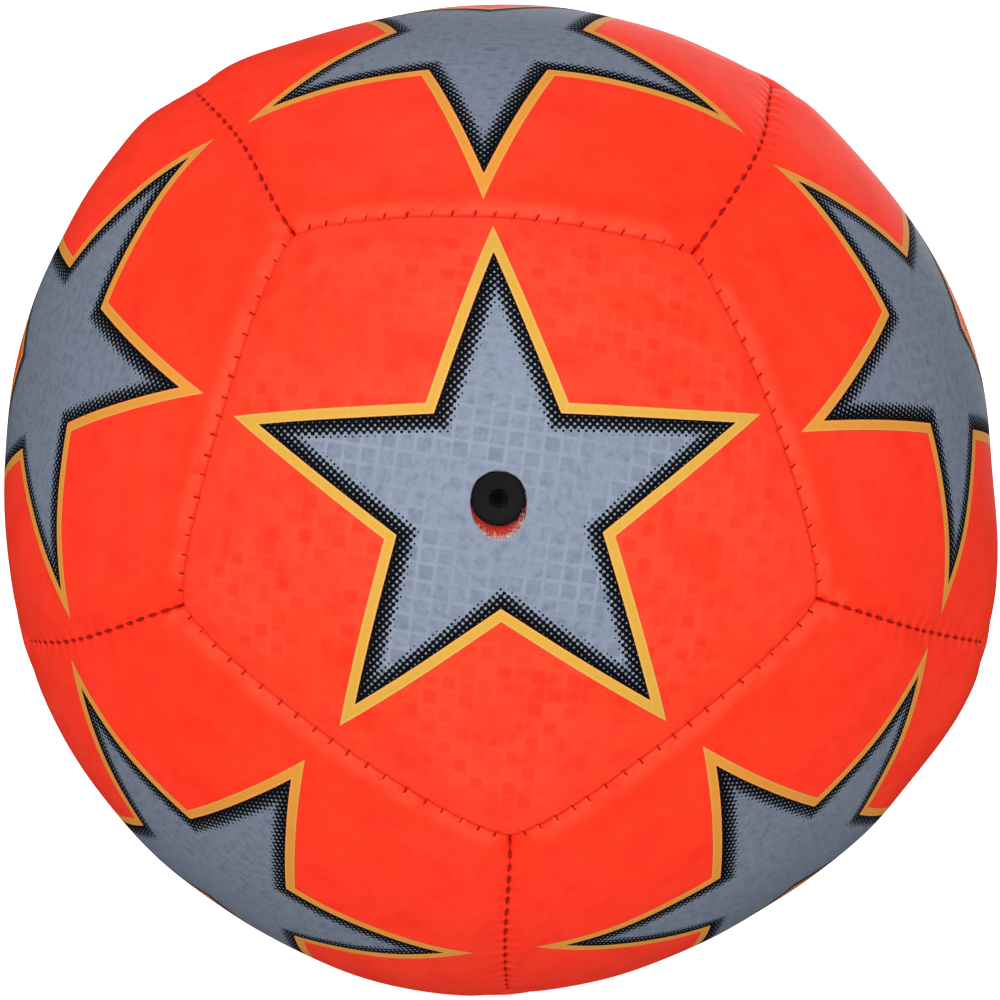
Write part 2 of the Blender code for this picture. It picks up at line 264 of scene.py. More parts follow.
def all_corners():
    """The corners of the valve panel, and the far ends of the seams that lead away from them."""
    azimuths = [math.pi / 2 + TURN / 2 + index * TURN for index in range(SIDES)]
    polars = (CORNER_ANGLE, OUTER_CORNER_ANGLE)
    return [[ball_direction(polar, azimuth) for azimuth in azimuths] for polar in polars]


def bell(offset, width):
    """1 at no offset, falling off smoothly on both sides."""
    return np.exp(-((offset / width) ** 2))


def nearness(directions, towards, width):
    """1 at a direction, falling off smoothly with the angle to it, in radians."""
    return bell(np.arccos(np.clip(directions @ towards, -1, 1)), width)


def deformed(points):
    """The points of the even ball moved to where they lie on the real, slightly uneven one."""
    radii = np.linalg.norm(points, axis=1)
    directions = points / radii[:, None]
    moved = directions.copy()
    for polar, azimuth, step_x, step_z in PULLS:
        centre = ball_direction(math.radians(polar), math.radians(azimuth))
        weight = nearness(directions, centre, math.radians(PULL_WIDTH))
        moved += weight[:, None] * np.array((step_x, 0.0, step_z)) / BALL_RADIUS
    lift = np.zeros(len(points))
    for polar, azimuth, height, width in LUMPS:
        centre = ball_direction(math.radians(polar), math.radians(azimuth))
        lift += height * nearness(directions, centre, math.radians(width))
    inner, outer = all_corners()
    for corner in inner + outer:
        for centre in (corner, -corner):
            lift -= CORNER_DIMPLE * nearness(directions, centre, CORNER_DIMPLE_WIDTH / BALL_RADIUS)
    x, y, z = directions.T
    calm = nearness(directions, np.array((0.0, -1.0, 0.0)), 0.2)
    lift += RIPPLE * np.sin(23 * x + 4 * z) * np.sin(19 * z - 7 * y) * (1 - calm)
    return unit(moved) * (radii + lift)[:, None]


# ---- the cover's face near its seams


def stitch_phase(along):
    """The place along a seam counted in stitches, a little uneven, the same from both sides."""
    uneven = 0.00035 * np.sin(along / 0.0046) + 0.00020 * np.sin(along / 0.0018)
    return (along + uneven) / STITCH_PITCH


def stitch_offset(along):
    phase = stitch_phase(along)
    return (phase - np.round(phase)) * STITCH_PITCH


def near_stitch(along):
    """1 where a stitch pulls the seam closed, 0 half-way between two stitches."""
    return np.exp(-((stitch_offset(along) / 0.0009) ** 4))


def from_end(along):
    """0 at the two ends of a seam and 1 away from them."""
    return np.clip((HALF_SEAM - np.abs(along) - 0.002) / 0.0080, 0, 1)


def slanted(along, is_ring):
    """How far a seam lies off its line, towards the panel that `along` belongs to."""
    offset = stitch_offset(along)
    if is_ring:
        run = 1 - 2 * np.abs(offset) / STITCH_PITCH
        return -RING_SLANT * run * np.tanh(offset / 0.00035) * from_end(along)
    return PLAIN_SLANT * np.sin(2 * math.pi * offset / STITCH_PITCH) * from_end(along)


def half_gap(along, kind):
    """Half of the gap at the seam: the stitches close it, and so do its two ends."""
    tight, wide = kind["gap"]
    gap = tight + (wide - tight) * (1 - near_stitch(along)) * from_end(along)
    gap = gap + slanted(along, kind is not PLAIN_SIDE)
    return gap + kind["sway"] * bell(stitch_offset(along), 0.0007)


def rolled(across, kind, along=None):
    """How far the face has rolled down into the seam."""
    width, height = kind["puff"]
    wide = height * np.clip(1 - across / width, 0, 1) ** 2
    width, height = kind["drop"]
    reach = np.clip(1 - across / width, 0, 1)
    tight = height * (1 - np.sqrt(1 - reach**2))
    if along is not None and kind is PLAIN_SIDE:
        tight = tight * (1 - 0.85 * near_stitch(along) * from_end(along))
    return wide + tight


def pinched(across, along, kind, lean):
    """How far a stitch presses the face in."""
    if kind is OUTER_SIDE:
        offset = stitch_offset(along - across * lean)
        ends = np.clip((HOLE_DISTANCE * 1.2 - across) / 0.0005, 0, 1)
        wide = bell(offset, 0.0011) * bell(across, 0.0024)
        return 0.00030 * bell(offset, 0.00036) * ends + 0.00014 * wide
    offset = stitch_offset(along)
    if kind is INNER_SIDE:
        return 0.00038 * bell(offset, 0.00034) * bell(across, 0.0011)
    puff = np.cos(2 * math.pi * offset / STITCH_PITCH) * bell(across, 0.0024)
    return -0.00010 * puff * from_end(along)


def wrinkled(across, along, kind):
    """Shallow wrinkles that run out of a seam."""
    wave = np.sin(along / 0.00115 + 2.5 * np.sin(along / 0.0071))
    second = np.sin(along / 0.0023 + 1.3)
    size = 0.000030 if kind is PLAIN_SIDE else 0.000015
    return size * (wave + second) * bell(across, 0.0058)


def crowned(across):
    """The radius of a panel's domed face at a distance from the nearest seam."""
    rise = np.clip(across / PUFF_WIDTH, 0, 1)
    return SEAM_RADIUS + (BALL_RADIUS - SEAM_RADIUS) * (1 - (1 - rise) ** 2)


def smooth_radius(directions):
    """The radius of a cover's face without its rolled edges."""
    return crowned(seam_places(directions)[0].min(axis=1)) - 0.0002


def face_radius(directions, kinds, lean):
    """The radius of a cover's outer face, for directions of a panel at +Z."""
    across, along = seam_places(directions)
    radius = crowned(across.min(axis=1))
    for side, kind in enumerate(kinds):
        distance, place = np.maximum(across[:, side], 0), along[:, side]
        radius -= rolled(distance, kind, place) + pinched(distance, place, kind, lean)
        radius += wrinkled(distance, place, kind)
    return radius


def seam_places(directions):
    """How far each direction lies from each edge, and how far along it from the edge's middle."""
    across = BALL_RADIUS * np.arcsin(np.clip(directions @ EDGE_NORMALS.T, -1, 1))
    along = BALL_RADIUS * np.arctan2(directions @ EDGE_TANGENTS.T, directions @ EDGE_MIDDLES.T)
    return across, along


# ---- panel meshes


def pentagon_grid(steps, hole_ring):
    """A flat pentagon at height 1, made of five kites of `steps` by `steps` cells.

    It returns its points, its quads, each point's ring, the outer loop and the loop round the
    hole, which takes the cells of the first `hole_ring` rings.
    """
    index = np.arange(steps + 1)
    first, second = np.meshgrid(index, index, indexing="ij")
    u, v = (first / steps)[..., None], (second / steps)[..., None]
    middle, corner = math.tan(EDGE_ANGLE), math.tan(CORNER_ANGLE)
    kites = []
    for side in range(SIDES):
        start, end, tip = (
            reach * np.array((math.cos(turns * TURN), math.sin(turns * TURN)))
            for reach, turns in ((middle, side), (middle, side + 1), (corner, side + 0.5))
        )
        kites.append(u * start + v * end + u * v * (tip - start - end))
    stacked = np.array(kites).reshape(-1, 2)
    keys = np.round(stacked, 7) + 0.0
    _, kept, where = np.unique(keys, axis=0, return_index=True, return_inverse=True)
    rings = np.tile(np.maximum(first, second).ravel(), SIDES)[kept]
    grid = where.reshape(SIDES, steps + 1, steps + 1)
    corners = (grid[:, :-1, :-1], grid[:, 1:, :-1], grid[:, 1:, 1:], grid[:, :-1, 1:])
    quads = np.stack(corners, axis=-1).reshape(-1, 4)
    quads = quads[rings[quads].max(axis=1) > hole_ring]
    used, quads = np.unique(quads, return_inverse=True)
    points, rings = stacked[kept][used], rings[used]
    angles = np.arctan2(points[:, 1], points[:, 0])
    loops = []
    for ring in (steps, hole_ring):
        members = np.flatnonzero(rings == ring)
        loops.append(members[np.argsort(angles[members])])
    return points, quads.reshape(-1, 4), rings, *loops


def loop_quads(loop, next_loop):
    """Quads between two closed loops of equal length."""
    return np.column_stack((loop, next_loop, np.roll(next_loop, -1), np.roll(loop, -1)))


def joined_faces(fine, coarse):
    """Faces between a fine closed loop and one with fewer points. Both start at the same place."""
    ratio = len(fine) // len(coarse)
    closed = np.append(fine, fine[0])
    runs = [closed[start : start + ratio + 1] for start in range(0, len(fine), ratio)]
    return np.column_stack((coarse, np.array(runs), np.roll(coarse, -1)))


def strip(loop, next_loop):
    """Faces between two closed loops, whichever of them is the finer one."""
    if len(loop) == len(next_loop):
        return loop_quads(loop, next_loop)
    return joined_faces(*sorted((loop, next_loop), key=len, reverse=True))


def slot_outline(angles, radius, stretch, rise):
    """The radius of an upright slot at each angle from +Z, seen from the panel's middle."""
    low, high = np.zeros(len(angles)), np.full(len(angles), 0.02)
    for _ in range(40):
        middle = (low + high) / 2
        up = np.maximum(np.abs(middle * np.cos(angles) - rise) - stretch, 0)
        inside = np.hypot(up, middle * np.sin(angles)) < radius
        low, high = np.where(inside, middle, low), np.where(inside, high, middle)
    return low


def cover_outline(angles):
    """The edge of the printed face round the valve: an upright slot, cut by hand."""
    ragged = 0.00005 * np.sin(9 * angles + 1) + 0.00003 * np.sin(23 * angles)
    low = np.clip(-np.cos(angles), 0, 1)
    narrowed = 0.00050 * low * np.abs(np.sin(angles)) + 0.00015 * low
    return slot_outline(angles, SLOT_RADIUS, VALVE_CENTRE_Z, 0) + ragged - narrowed


def backing_outline(angles):
    """The edge of the cloth under the face: it shows as a pale lip at the slot's lower end."""
    low = np.clip(-np.cos(angles), 0, 1) ** 1.5
    ragged = 0.00014 * np.sin(17 * angles) + 0.00012 * np.sin(33 * angles + 2)
    return cover_outline(angles) + 0.00012 * (1 - low) - (0.00058 + ragged) * low


def foam_outline(angles):
    return slot_outline(angles, FOAM_HOLE_RADIUS, VALVE_CENTRE_Z, 0)


def lining_outline(angles):
    return slot_outline(angles, LINING_HOLE_RADIUS, 0, VALVE_CENTRE_Z)


def opened(points, rings, loop, hole_ring, outline):
    """Moves the rings round the middle outwards, so that the first follows the hole's outline."""
    angles = np.arctan2(points[:, 1], points[:, 0])
    radii = np.linalg.norm(points, axis=1)
    wanted = outline(angles[loop]) / BALL_RADIUS - radii[loop]
    gain = np.interp(angles, angles[loop], wanted, period=2 * math.pi)
    fade = np.clip(1 - (rings - hole_ring) / (3.0 * hole_ring), 0, 1)
    fade = fade * fade * (3 - 2 * fade)
    return points * (1 + gain * fade / radii)[:, None]


class Shell:
    """A closed sheet or tube under construction: points, faces, and each face's material."""

    def __init__(self):
        self.points = []
        self.faces = []
        self.materials = []
        self.count = 0

    def add_points(self, points):
        start = self.count
        self.points.append(points)
        self.count += len(points)
        return np.arange(start, self.count)

    def add_faces(self, faces, material=PRINT):
        self.faces.append(faces)
        self.materials.append(np.full(len(faces), material))

    def mesh(self, name):
        """The finished mesh, smooth and facing outwards."""
        mesh = bpy.data.meshes.new(name)
        faces = [face for group in self.faces for face in group.tolist()]
        mesh.from_pydata(np.concatenate(self.points).tolist(), [], faces)
        materials = np.concatenate(self.materials).astype(np.int32)
        mesh.polygons.foreach_set("material_index", materials)
        mesh.validate()
        work = bmesh.new()
        work.from_mesh(mesh)
        bmesh.ops.recalc_face_normals(work, faces=work.faces)
        work.to_mesh(mesh)
        work.free()
        mesh.shade_smooth()
        return mesh


def refined(outline):
    """A closed outline with RIM_REFINING times as many points."""
    following = np.roll(outline, -1, axis=0)
    shares = np.arange(RIM_REFINING) / RIM_REFINING
    steps = [outline + (following - outline) * share for share in shares]
    return np.stack(steps, axis=1).reshape(-1, 2)


def flat_directions(points):
    return unit(np.column_stack((points, np.ones(len(points)))))


def seam_scale(points, inset):
    """How much to shrink a point on the pentagon's edge so that it lies `inset` inside the seam."""
    polar = np.arctan(np.linalg.norm(points, axis=1))
    return 1 - inset / (BALL_RADIUS * math.sin(EDGE_ANGLE) * np.cos(polar))


def print_places(directions, across, shift, turn):
    """Flat places on the panel in millimetres, and the distance to the nearest seam."""
    length = BALL_RADIUS * np.arccos(np.clip(directions[:, 2], -1, 1)) / MM
    azimuth = np.arctan2(directions[:, 1], directions[:, 0]) + turn
    up, side = length * np.cos(azimuth) - shift[0], length * np.sin(azimuth) - shift[1]
    return np.column_stack((up, side, across / MM))


def cover_mesh(name, rotation, kinds, lean, hole, shift, turn):
    """A cover: rolled edges with stitches pressed in, turned down into the seam, and a wall."""
    hole_ring = COVER_HOLE_RING if hole else 0
    points, quads, rings, rim, hole_loop = pentagon_grid(COVER_STEPS, hole_ring)
    seam_rim = refined(points[rim])
    points = points * (1 - GRID_INSET / (EDGE_REACH * math.cos(EDGE_ANGLE)))
    if hole:
        points = opened(points, rings, hole_loop, hole_ring, cover_outline)
        reach = BALL_RADIUS * np.linalg.norm(points[hole_loop], axis=1, keepdims=True)
        points[hole_loop] *= 1 + 0.0004 / reach
    shell = Shell()
    places = []

    def add(flat, radius=None, less=0.0):
        directions = flat_directions(flat)
        if radius is None:
            radius = face_radius(directions, kinds, lean) - less
        across, along = seam_places(directions)
        nearest = np.argmin(across, axis=1)
        stitched = near_stitch(np.take_along_axis(along, nearest[:, None], axis=1)[:, 0])
        plain = np.array([kind is PLAIN_SIDE for kind in kinds])[nearest]
        # Near a stitch of a plain seam the stored distance is pushed out by half a millimetre, so
        # that the painted shade along the seam breaks off at each stitch.
        from_seam = across.min(axis=1) + 0.0005 * stitched * plain
        places.append(print_places(directions, from_seam, shift, turn))
        return shell.add_points(directions * np.reshape(radius, (-1, 1)))

    shell.add_faces(add(points)[quads])
    loop = rim
    across, along = seam_places(flat_directions(seam_rim))
    sides = np.argmin(np.abs(across), axis=1)
    gap = np.array([half_gap(along[i, side], kinds[side]) for i, side in enumerate(sides)])
    for row in SHOULDER_ROWS_MM:
        flat = seam_rim * seam_scale(seam_rim, row * MM + gap)[:, None]
        following = add(flat)
        shell.add_faces(strip(loop, following))
        loop = following
    top = face_radius(flat_directions(flat), kinds, lean)
    for row in WALL_ROWS_MM:
        if row == WALL_ROWS_MM[1]:
            flat, top = flat[::RIM_REFINING], top[::RIM_REFINING]
        following = add(flat, np.maximum(top - row * MM, ALLOWANCE_RADIUS))
        shell.add_faces(strip(loop, following), PRINT if row < 1 else CLOTH)
        loop = following

    # The inner side, smooth and coarser
    hole_ring //= COVER_THINNING
    points_in, quads, rings, rim, hole_in = pentagon_grid(COVER_STEPS // COVER_THINNING, hole_ring)
    inset = COVER_THICKNESS + RING_GAP
    rim_in = points_in[rim] * seam_scale(points_in[rim], inset)[:, None]
    points_in = points_in * (1 - (inset + 0.001) / EDGE_REACH)
    if hole:
        points_in = opened(points_in, rings, hole_in, hole_ring, backing_outline)
    under = add(points_in, smooth_radius(flat_directions(points_in)) - COVER_THICKNESS)
    last = add(rim_in, ALLOWANCE_RADIUS)
    for faces in (under[quads], strip(under[rim], last), strip(loop, last)):
        shell.add_faces(faces, CLOTH)
    if hole:
        add_cover_hole(shell, add, points[hole_loop], hole_loop, under[hole_in])
    return finished_mesh(name, shell, rotation, places)


def add_cover_hole(shell, add, flat, loop, inner_loop):
    """The lip and the wall of the slot, from the face's edge to the inner side."""
    angles = np.arctan2(flat[:, 1], flat[:, 0])
    start, end = cover_outline(angles), backing_outline(angles)
    # Millimetres outside the print's edge, share of the way to the backing's edge, and depth
    rows = (
        (0.14, 0.0, 0.0),
        (0.04, 0.0, 0.0),
        (0.0, 0.03, 0.05),
        (0.0, 0.10, 0.14),
        (0.0, 0.35, 0.36),
        (0.0, 0.62, 0.50),
        (0.0, 0.88, 0.60),
        (0.0, 1.0, 0.75),
    )
    for outside, share, depth in rows:
        reach = (start + outside * MM + (end - start) * share) / BALL_RADIUS
        following = add(unit(flat) * reach[:, None], None, depth * MM)
        shell.add_faces(strip(loop, following), PRINT if share < 0.1 else CLOTH)
        loop = following
    shell.add_faces(strip(loop, inner_loop), CLOTH)


def sheet_mesh(name, rotation, depth, thickness, outline=None):
    """A foam or lining sheet: an even closed sheet with its edges turned in along the seam."""
    hole_ring = SHEET_HOLE_RING if outline else 0
    points, quads, rings, rim, hole_loop = pentagon_grid(SHEET_STEPS, hole_ring)
    shell = Shell()
    places, edges, holes = [], [], []
    for level in (depth, depth + thickness):
        inset = RING_GAP + level
        flat = points * (1 - (inset + 0.0005) / (EDGE_REACH * math.cos(EDGE_ANGLE)))
        if outline:
            flat = opened(flat, rings, hole_loop, hole_ring, outline)
        directions = flat_directions(flat)
        across = seam_places(directions)[0].min(axis=1)
        sunk = rolled(np.maximum(across - level, 0), PLAIN_SIDE)
        radius = smooth_radius(directions) - level - sunk
        face = shell.add_points(directions * radius[:, None])
        edge = flat_directions(points[rim] * seam_scale(points[rim], inset)[:, None])
        edges.append(shell.add_points(edge * ALLOWANCE_RADIUS))
        shell.add_faces(face[quads])
        shell.add_faces(strip(face[rim], edges[-1]))
        holes.append(face[hole_loop])
        for some in (directions, edge):
            places.append(print_places(some, seam_places(some)[0].min(axis=1), (0, 0), 0))
    shell.add_faces(strip(*edges))
    if outline:
        shell.add_faces(strip(*holes))
    return finished_mesh(name, shell, rotation, places)


def finished_mesh(name, shell, rotation, places):
    """Turns a panel to its place, makes it uneven as the ball is, and stores its flat places."""
    shell.points = [deformed(np.concatenate(shell.points) @ rotation.T)]
    mesh = shell.mesh(name)
    stored = mesh.attributes.new("flat_place", "FLOAT_VECTOR", "POINT")
    stored.data.foreach_set("vector", np.concatenate(places).astype(np.float32).ravel())
    return mesh


# ---- threads


def seam_frame(start, end, beside):
    """The middle, tangent and side of a seam, and which way the tangent runs.

    The side points to the panel at `beside`, and the last number is the sign that turns the
    tangent into that panel's own.
    """
    middle = unit(start + end)
    tangent = unit(end - start)
    side = np.cross(middle, tangent)
    facing = 1 if side.dot(beside) > 0 else -1
    return middle, tangent, side * facing, facing


def seam_direction(seam, along, across):
    middle, tangent, side, _ = seam
    turn, tilt = along / BALL_RADIUS, across / BALL_RADIUS
    base = np.outer(np.cos(turn), middle) + np.outer(np.sin(turn), tangent)
    return base * np.cos(tilt)[:, None] + np.outer(np.sin(tilt), side)


def stitch_places():
    """The places along a seam where stitches lie."""
    last = int((HALF_SEAM - STITCH_MARGIN) / STITCH_PITCH)
    places = []
    for number in range(-last, last + 1):
        along = number * STITCH_PITCH
        for _ in range(8):
            along -= (stitch_phase(along) - number) * STITCH_PITCH
        places.append(along)
    return places


def add_tube(shell, points, radii, sides=8):
    """A closed round tube along points, with pointed ends."""
    forward = unit(np.gradient(points, axis=0))
    right = unit(np.cross(forward, unit(points.mean(axis=0))))
    up = np.cross(right, forward)
    angles = np.arange(sides) * 2 * math.pi / sides
    loops = []
    for index, point in enumerate(points):
        ring = np.outer(np.cos(angles), right[index]) + np.outer(np.sin(angles), up[index])
        loops.append(shell.add_points(point + ring * radii[index]))
    for before, after in zip(loops, loops[1:]):
        shell.add_faces(loop_quads(before, after))
    for end, reach in ((0, -0.6), (-1, 0.6)):
        tip = shell.add_points((points[end] + forward[end] * radii[end] * reach)[None])
        loop = loops[end]
        shell.add_faces(np.column_stack((loop, np.roll(loop, -1), np.full(sides, tip[0]))))


def ring_stitch(seam, along, lean):
    """A stitch that comes out of the seam, crosses the petal's edge and goes into its hole."""
    across = np.array(STITCH_SHARES) * HOLE_DISTANCE
    places = along + across * lean
    radius = crowned(across) - rolled(across, OUTER_SIDE, places)
    radius -= pinched(across, places, OUTER_SIDE, lean)
    radius += np.array(STITCH_HEIGHTS_MM) * MM
    return seam_direction(seam, places, across) * radius[:, None]


def groove_run(seam, start, end, depth, lift, is_ring):
    """Thread that lies in the groove between two stitches and dips at both."""
    share = np.linspace(0, 1, 9)
    along = start + (end - start) * share
    radius = SEAM_RADIUS - depth + lift * np.sin(math.pi * share) ** 0.7
    return seam_direction(seam, along, seam[3] * slanted(along, is_ring)) * radius[:, None]


def thread_mesh(name, seams):
    """All stitches of one thread. `seams` holds (frame, is a ring, lean)."""
    shell = Shell()
    places = stitch_places()
    bounds = [RUN_MARGIN - HALF_SEAM, *places, HALF_SEAM - RUN_MARGIN]
    slim = 0.75 + 0.25 * np.sin(np.linspace(0, math.pi, 9))
    for seam, is_ring, lean in seams:
        for along in places if is_ring else ():
            uneven = 0.14 * math.sin(along * 1931.0)
            radii = STITCH_RADIUS * np.array(STITCH_SLIM) * (1 + uneven)
            add_tube(shell, ring_stitch(seam, along, lean + uneven), radii)
        radius, depth, lift, short = RING_RUN if is_ring else PLAIN_RUN
        for start, end in zip(bounds, bounds[1:]):
            if end - start >= SHORTEST_RUN:
                run = groove_run(seam, start + short, end - short, depth, lift, is_ring)
                add_tube(shell, run, radius * slim)
    shell.points = [deformed(np.concatenate(shell.points))]
    return shell.mesh(name)


def thread_seams():
    """Each CAD thread's name and the seams that it sews, as (frame, is a ring, lean)."""
    made = {}
    zigzag = []
    for half, sign in (("front", 1), ("back", -1)):
        inner, outer = ([sign * corner for corner in corners] for corners in all_corners())
        zigzag += outer
        pole = unit(sum(inner))
        ring = made[f"thread_{half}_ring"] = []
        for index in range(SIDES):
            # This edge of the pole panel belongs to the next petal.
            petal = (index + 1) % SIDES
            seam = seam_frame(inner[index], inner[petal], -pole)
            ring.append((seam, True, seam[3] * RING_LEANS[petal]))
            seam = seam_frame(inner[index], outer[index], inner[petal])
            made[f"thread_{half}_petal_{index + 1}"] = [(seam, False, 0.0)]
    zigzag.sort(key=lambda corner: math.atan2(corner[2], corner[0]))
    closing = made["thread_closing_seam"] = []
    for start, end in zip(zigzag, zigzag[1:] + zigzag[:1]):
        closing.append((seam_frame(start, end, np.array((0.0, 1.0, 0.0))), False, 0.0))
    return made


# ---- the valve


def rounded_profile(outline, steps=4):
    """An outline of (radius, height, size of the round) with its corners rounded."""
    made = []
    shares = np.linspace(0, 1, steps + 1)[:, None]
    for index, (*place, size) in enumerate(outline):
        corner = np.array(place)
        if size == 0:
            made.append(corner)
            continue
        before, after = (
            np.array(outline[near % len(outline)][:2]) - corner for near in (index - 1, index + 1)
        )
        start, end = unit(before) * size, unit(after) * size
        made += list(corner + (1 - shares) ** 2 * start + shares**2 * end)
    return made


def turned_mesh(name, profile, segments):
    """A body turned about the valve's axis, from a closed profile of (radius, height)."""
    shell = Shell()
    loops = []
    angles = np.arange(segments) * 2 * math.pi / segments
    for radius, height in profile:
        x, z = radius * np.cos(angles), VALVE_CENTRE_Z + radius * np.sin(angles)
        loops.append(shell.add_points(np.column_stack((x, np.full(segments, -height), z))))
    for before, after in zip(loops, loops[1:] + loops[:1]):
        shell.add_faces(loop_quads(before, after))
    mesh = shell.mesh(name)
    mesh.set_sharp_from_angle(angle=math.radians(60))
    return mesh


def valve_profile():
    """The rubber valve: a dished face with a lip round the needle hole, a neck and a flange."""
    head = VALVE_HEAD
    flange_top = math.sqrt(FLANGE_REACH**2 - FLANGE_RADIUS**2)
    flange_end = flange_top - FLANGE_THICKNESS
    return rounded_profile(
        [
            (NEEDLE_RADIUS, head - 0.00040, 0.00028),
            (VALVE_RADIUS - 0.0014, head - 0.00018, 0.0006),
            (VALVE_RADIUS - 0.0008, head, 0.0003),
            (VALVE_RADIUS, head - 0.0003, 0.0003),
            (VALVE_RADIUS, flange_top, 0.0004),
            (FLANGE_RADIUS, flange_top, 0.0003),
            (FLANGE_RADIUS, flange_end, 0.0003),
            (VALVE_RADIUS, flange_end, 0.0004),
            (VALVE_RADIUS - 0.0006, VALVE_END, 0.0006),
            (NEEDLE_RADIUS, VALVE_END, 0.0002),
            (NEEDLE_RADIUS, VALVE_END + CHAMBER_WALL, 0.0),
            (CHAMBER_RADIUS, VALVE_END + CHAMBER_WALL, 0.0),
            (CHAMBER_RADIUS, head - CHAMBER_WALL, 0.0),
            (NEEDLE_RADIUS, head - CHAMBER_WALL, 0.0),
        ]
    )


def fibre_mesh(name):
    """Short fibres of the cut cloth that stand into the slot, and longer ones at its right."""
    draw = np.random.default_rng(SEED)
    shell = Shell()
    shares = np.linspace(0, 1, 5)
    for number in range(SHORT_FIBRES + LONG_FIBRES):
        is_long = number >= SHORT_FIBRES
        middle, spread = (math.pi + 0.86, 0.10) if is_long else (math.pi, 0.75)
        angle = middle + draw.normal(0, spread)
        edge = backing_outline(np.array([angle]))[0] + 0.00010
        low = 0.25 + 0.45 * draw.random()
        length = (0.35 + 0.75 * draw.random()) * MM * (1.9 if is_long else 1)
        lean = draw.normal(0, 0.9)
        lift = draw.normal(0.1, 0.45)
        curl = draw.normal(0, 0.5)
        reach = edge - length * shares * math.cos(lean)
        sideways = length * shares * math.sin(lean) + curl * length * shares**2
        height = BALL_RADIUS - (low + 0.2) * MM + lift * length * shares
        x = -(reach * math.sin(angle) + sideways * math.cos(angle))
        z = reach * math.cos(angle) - sideways * math.sin(angle)
        radii = 0.000045 * (1 - 0.6 * shares)
        add_tube(shell, np.column_stack((x, -height, z)), radii, sides=5)
    return shell.mesh(name)


# ---- materials


class Value:
    """A number, a colour or a vector in a node tree. Numbers take the usual signs."""

    def __init__(self, nodes, socket):
        self.nodes = nodes
        self.socket = socket

    def __add__(self, other):
        return self.nodes.math("ADD", self, other)

    def __sub__(self, other):
        return self.nodes.math("SUBTRACT", self, other)

    def __mul__(self, other):
        return self.nodes.math("MULTIPLY", self, other)

    def __mod__(self, other):
        return self.nodes.math("FLOORED_MODULO", self, other)

    def __abs__(self):
        return self.nodes.math("ABSOLUTE", self)


class Nodes:
    """A material's node tree with short calls for the nodes that it uses."""

    def __init__(self, name):
        self.material = bpy.data.materials.new(name)
        self.material.use_nodes = True
        self.tree = self.material.node_tree

    def put(self, value, socket):
        if isinstance(value, Value):
            self.tree.links.new(value.socket, socket)
        else:
            socket.default_value = value

    def add(self, kind, inputs, output=0):
        """The output of a new node, whose inputs are given by name or number."""
        node = self.tree.nodes.new("ShaderNode" + kind)
        for place, value in inputs.items():
            self.put(value, node.inputs[place])
        return Value(self, node.outputs[output])

    def math(self, operation, *values):
        made = self.add("Math", dict(enumerate(values)))
        made.socket.node.operation = operation
        return made

    def step(self, value, low, high, out_low=0.0, out_high=1.0, kind="SMOOTHSTEP"):
        """A step from one value to the other, smooth or straight, as `value` goes up."""
        made = self.add("MapRange", dict(enumerate((value, low, high, out_low, out_high))))
        made.socket.node.interpolation_type = kind
        return made

    def chosen(self, share, first, second):
        """The first number where `share` is 0, and the second where it is 1."""
        return self.add("Mix", {0: share, 2: first, 3: second})

    def layered(self, colour, *layers):
        """A colour with others laid over it, each as (share, colour)."""
        for share, over in layers:
            node = self.tree.nodes.new("ShaderNodeMix")
            node.data_type = "RGBA"
            for place, value in ((0, share), (6, colour), (7, over)):
                self.put(value, node.inputs[place])
            colour = Value(self, node.outputs[2])
        return colour

    def flat_place(self):
        """The stored place on the flat panel, and its three parts in millimetres."""
        place = self.add("Attribute", {}, "Vector")
        place.socket.node.attribute_name = "flat_place"
        split = self.add("SeparateXYZ", {0: place}).socket.node
        return place, *(Value(self, socket) for socket in split.outputs)

    def object_place(self):
        return self.add("TexCoord", {}, "Object")

    def noise(self, vector, scale, detail=2.0, roughness=0.5):
        inputs = {"Vector": vector, "Scale": scale, "Detail": detail, "Roughness": roughness}
        return self.add("TexNoise", inputs, "Fac")

    def cell_noise(self, column, row):
        place = self.add("CombineXYZ", {0: column, 1: row})
        made = self.add("TexWhiteNoise", {"Vector": place}, "Value")
        made.socket.node.noise_dimensions = "2D"
        return made

    def bump(self, height, distance, **under):
        return self.add("Bump", {"Height": height, "Distance": distance, **under})

    def finished(self, **values):
        """The material, with its shader's inputs filled in."""
        shader = self.tree.nodes["Principled BSDF"]
        for name, value in values.items():
            self.put(value, shader.inputs[name.replace("_", " ")])
        return self.material


def star_distance(nodes, x, y):
    """How far a flat place lies outside the star's outline, in millimetres."""
    start = Vector((STAR_TIP, 0))
    end = STAR_WAIST * Vector((math.cos(TURN / 2), math.sin(TURN / 2)))
    along = (end - start).normalized()
    normal = Vector((along.y, -along.x))
    folded = abs((nodes.math("ARCTAN2", y, x) + TURN / 2) % TURN - TURN / 2)
    radius = nodes.math("SQRT", x * x + y * y)
    # normal . (radius * (cos, sin)) = radius * cos(folded - the normal's angle)
    facing = nodes.math("COSINE", folded - math.atan2(normal.y, normal.x))
    return radius * facing - normal.dot(start)


def halftone(nodes, x, y):
    """The dot screen: 1 in the middle of each pale dot, 0 in the middle of each dark one."""
    scale = 2 * math.pi / DOT_PITCH * math.sqrt(0.5)
    waves = nodes.math("COSINE", (x + y) * scale) + nodes.math("COSINE", (x - y) * scale)
    return waves * 0.25 + 0.5


